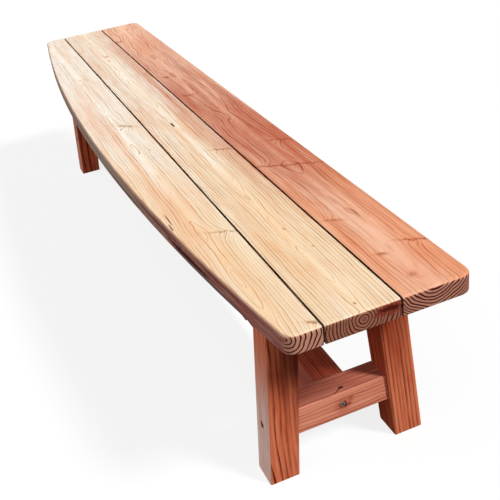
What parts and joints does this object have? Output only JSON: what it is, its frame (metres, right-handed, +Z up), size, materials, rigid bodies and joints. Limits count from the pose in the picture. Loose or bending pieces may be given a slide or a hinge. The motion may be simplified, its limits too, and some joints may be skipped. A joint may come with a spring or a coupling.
{
  "type": "wooden bench",
  "caption": "Long backless bench with a planked seat bowed along one edge, on splayed post legs tied by end stretchers and a long centre stretcher.",
  "frame": {"origin": "on the floor, below the centre of the seat's bounding box", "axes": "+X along the bench, +Y towards the straight edge, so -Y is the bowed edge, +Z up"},
  "size_m": [2.1336, 0.4253, 0.4572],
  "materials": {
    "seat_board_pale": "sanded, clear oiled, pale sapwood",
    "seat_board_banded": "sanded, clear oiled, pale with a redder band",
    "seat_board_red": "sanded, clear oiled, salmon heartwood",
    "leg_wood": "planed, clear oiled, red-brown heartwood",
    "stretcher_wood": "planed, clear oiled, salmon red-brown",
    "cleat_wood": "planed, unseen under the seat",
    "screw_steel": "zinc-plated, dulled"
  },
  "bodies": {
    "root": {"seat_board_bowed": "seat_board_pale", "seat_board_middle": "seat_board_banded", "seat_board_straight": "seat_board_red", "leg_a_bowed_side": "leg_wood", "leg_a_straight_side": "leg_wood", "leg_b_bowed_side": "leg_wood", "leg_b_straight_side": "leg_wood", "end_stretcher_a": "stretcher_wood", "end_stretcher_b": "stretcher_wood", "long_stretcher": "stretcher_wood", "seat_cleat_a": "cleat_wood", "seat_cleat_b": "cleat_wood", "middle_cleat": "cleat_wood", "stretcher_screws_a": "screw_steel", "stretcher_screws_b": "screw_steel", "long_stretcher_screw_a": "screw_steel", "long_stretcher_screw_b": "screw_steel", "leg_screws_a": "screw_steel", "leg_screws_b": "screw_steel", "seat_screws_a": "screw_steel", "seat_screws_b": "screw_steel", "middle_cleat_screws": "screw_steel"}
  },
  "joints": []
}
